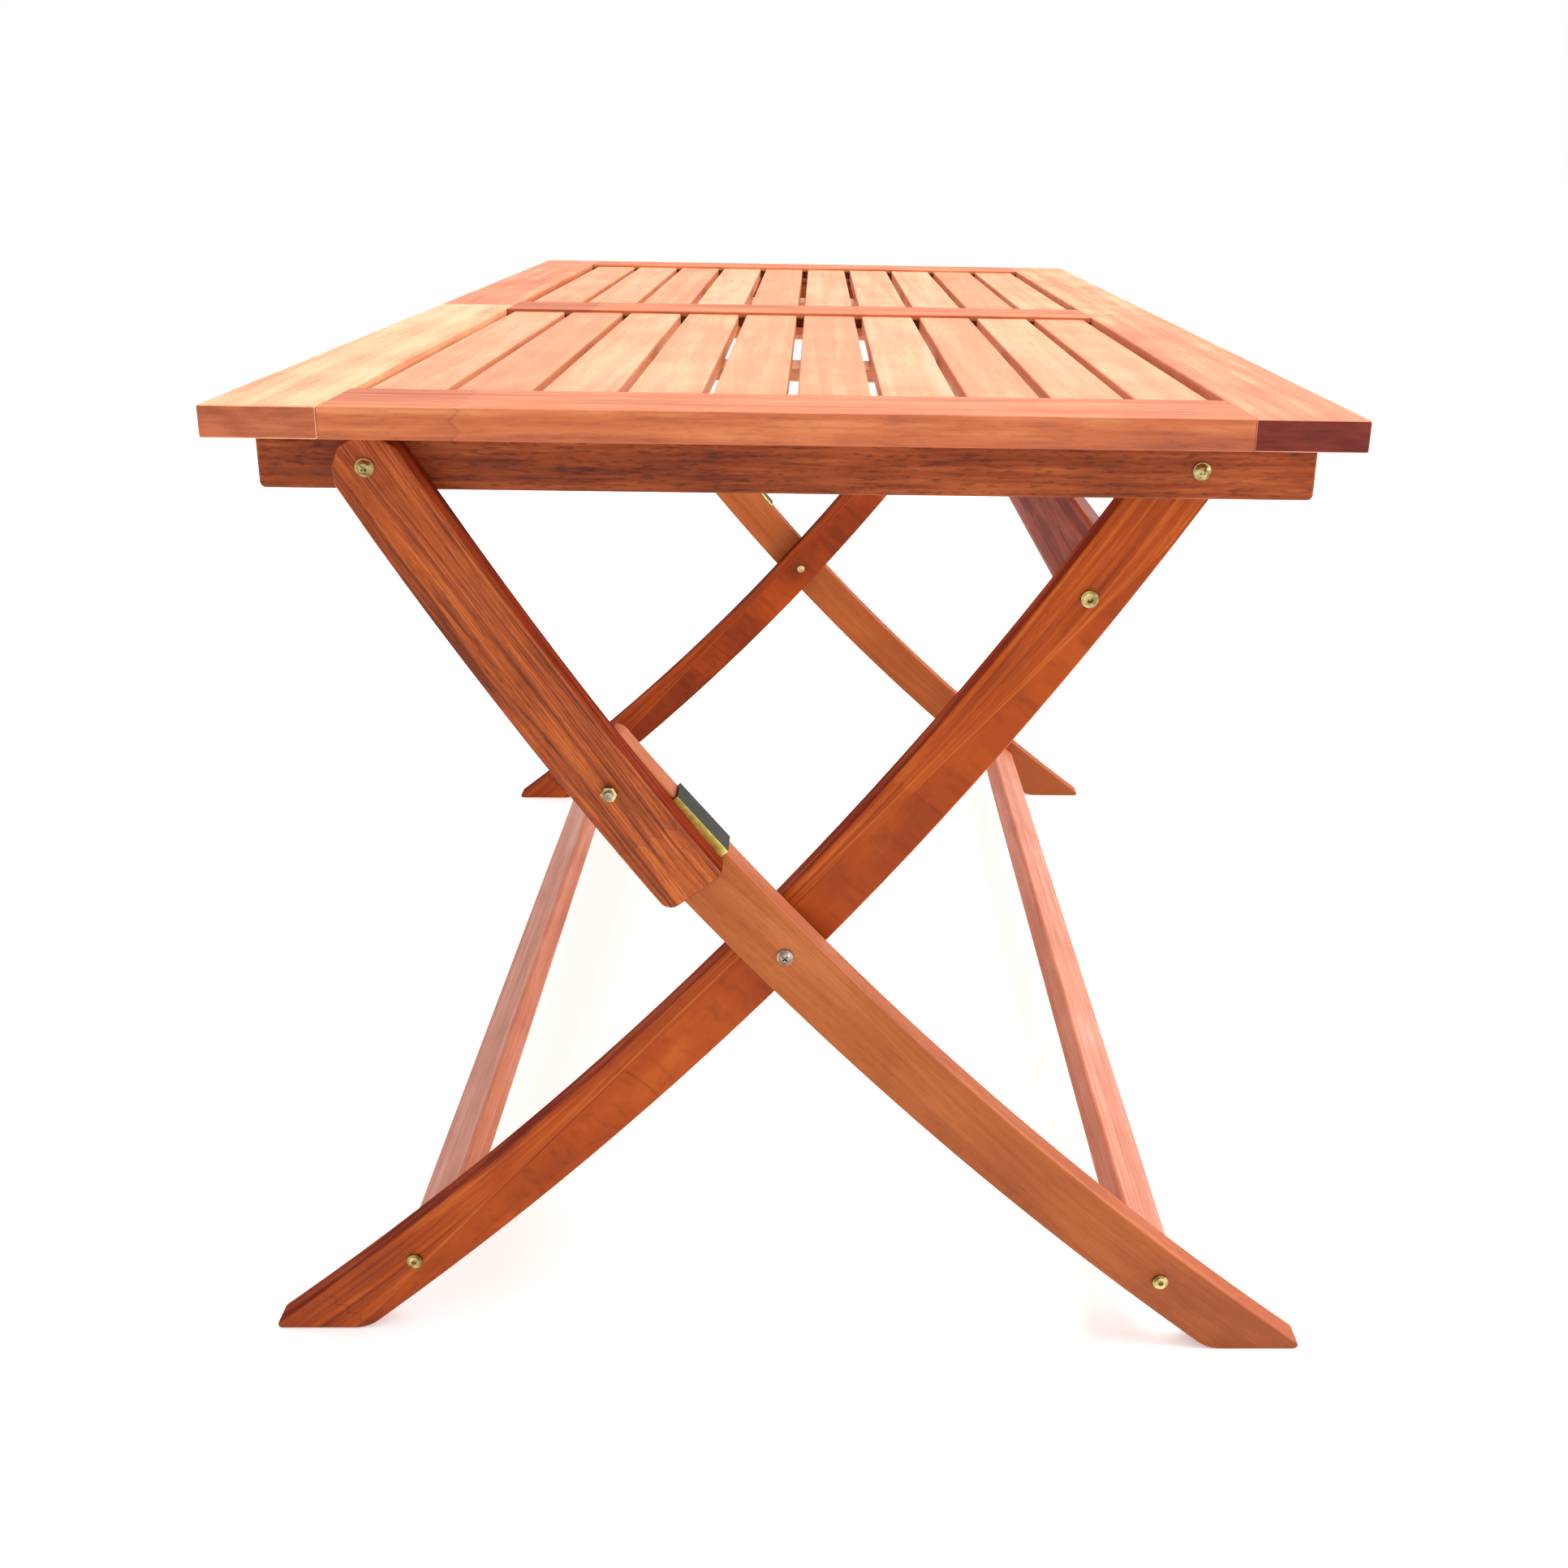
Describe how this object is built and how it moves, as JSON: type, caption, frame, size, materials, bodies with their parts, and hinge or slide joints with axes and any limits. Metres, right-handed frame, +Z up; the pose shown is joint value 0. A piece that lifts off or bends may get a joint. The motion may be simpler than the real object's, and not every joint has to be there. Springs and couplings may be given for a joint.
{
  "type": "folding slatted garden table",
  "caption": "Rectangular slatted garden table on curved crossing legs; knee-jointed braces fold the legs up under the top.",
  "frame": {"origin": "on the floor, below the middle of the table top, in the middle of the footprint", "axes": "+Z up, +Y along the table's length, +X across it from the arm side to the inner-leg side"},
  "size_m": [0.8075, 1.2, 0.75],
  "materials": {
    "slat_wood": "oiled reddish hardwood, pale peach faces with fine grain",
    "frame_wood": "oiled reddish hardwood, peach faces, darker end grain",
    "batten_wood": "oiled reddish hardwood",
    "apron_wood": "oiled reddish hardwood, coarse brown grain",
    "inner_leg_wood": "oiled deep red-brown hardwood with streaky grain",
    "outer_leg_wood": "oiled tan-orange hardwood",
    "stretcher_wood": "oiled light salmon hardwood",
    "dowel_wood": "plain beech dowel",
    "stop_plate_zinc": "yellow-passivated zinc on bent steel plate",
    "fastener_zinc": "yellow-passivated zinc-plated steel"
  },
  "bodies": {
    "tabletop": {"near_stile_left": "frame_wood", "near_stile_right": "frame_wood", "near_end_rail": "frame_wood", "near_centre_rail": "frame_wood", "far_stile_left": "frame_wood", "far_stile_right": "frame_wood", "far_end_rail": "frame_wood", "far_centre_rail": "frame_wood", "near_slat_01": "slat_wood", "near_slat_02": "slat_wood", "near_slat_03": "slat_wood", "near_slat_04": "slat_wood", "near_slat_05": "slat_wood", "near_slat_06": "slat_wood", "near_slat_07": "slat_wood", "near_slat_08": "slat_wood", "near_slat_09": "slat_wood", "near_slat_10": "slat_wood", "far_slat_01": "slat_wood", "far_slat_02": "slat_wood", "far_slat_03": "slat_wood", "far_slat_04": "slat_wood", "far_slat_05": "slat_wood", "far_slat_06": "slat_wood", "far_slat_07": "slat_wood", "far_slat_08": "slat_wood", "far_slat_09": "slat_wood", "far_slat_10": "slat_wood", "near_batten": "batten_wood", "far_batten": "batten_wood", "centre_cleat": "batten_wood", "frame_dowels": "dowel_wood", "top_screws": "fastener_zinc", "near_apron": "apron_wood", "far_apron": "apron_wood", "apron_screws": "fastener_zinc", "arm_pivot_screws": "fastener_zinc", "leg_pivot_screws": "fastener_zinc"},
    "arms": {"near_arm": "inner_leg_wood", "far_arm": "inner_leg_wood", "knee_bolts": "fastener_zinc", "knee_nuts": "fastener_zinc", "near_stop_plate": "stop_plate_zinc", "far_stop_plate": "stop_plate_zinc", "stop_plate_screws": "fastener_zinc"},
    "outer_frame": {"near_outer_leg": "outer_leg_wood", "far_outer_leg": "outer_leg_wood", "outer_foot_stretcher": "stretcher_wood", "crossing_bolts": "fastener_zinc", "crossing_nuts": "fastener_zinc", "outer_stretcher_bolts": "fastener_zinc", "outer_stretcher_dowels": "dowel_wood"},
    "inner_frame": {"near_inner_leg": "inner_leg_wood", "far_inner_leg": "inner_leg_wood", "inner_foot_stretcher": "stretcher_wood", "upper_stretcher": "stretcher_wood", "inner_stretcher_bolts": "fastener_zinc", "upper_stretcher_bolts": "fastener_zinc", "inner_stretcher_dowels": "dowel_wood"}
  },
  "joints": [
    {"name": "arm_fold", "type": "hinge", "parent": "tabletop", "child": "arms", "pos_m": [-0.266, 0, 0.705], "axis": [0, -1, 0], "range_deg": [0, 43]},
    {"name": "knee_fold", "type": "hinge", "parent": "arms", "child": "outer_frame", "pos_m": [-0.12, 0, 0.485], "axis": [0, 1, 0], "range_deg": [0, 129.9]},
    {"name": "crossing_fold", "type": "hinge", "parent": "outer_frame", "child": "inner_frame", "pos_m": [-0.002, 0, 0.348], "axis": [0, -1, 0], "range_deg": [0, 58.52]}
  ],
  "couplings": [
    {"joint": "knee_fold", "follows": "arm_fold", "ratio": 3.0198},
    {"joint": "crossing_fold", "follows": "arm_fold", "ratio": 1.3597}
  ]
}
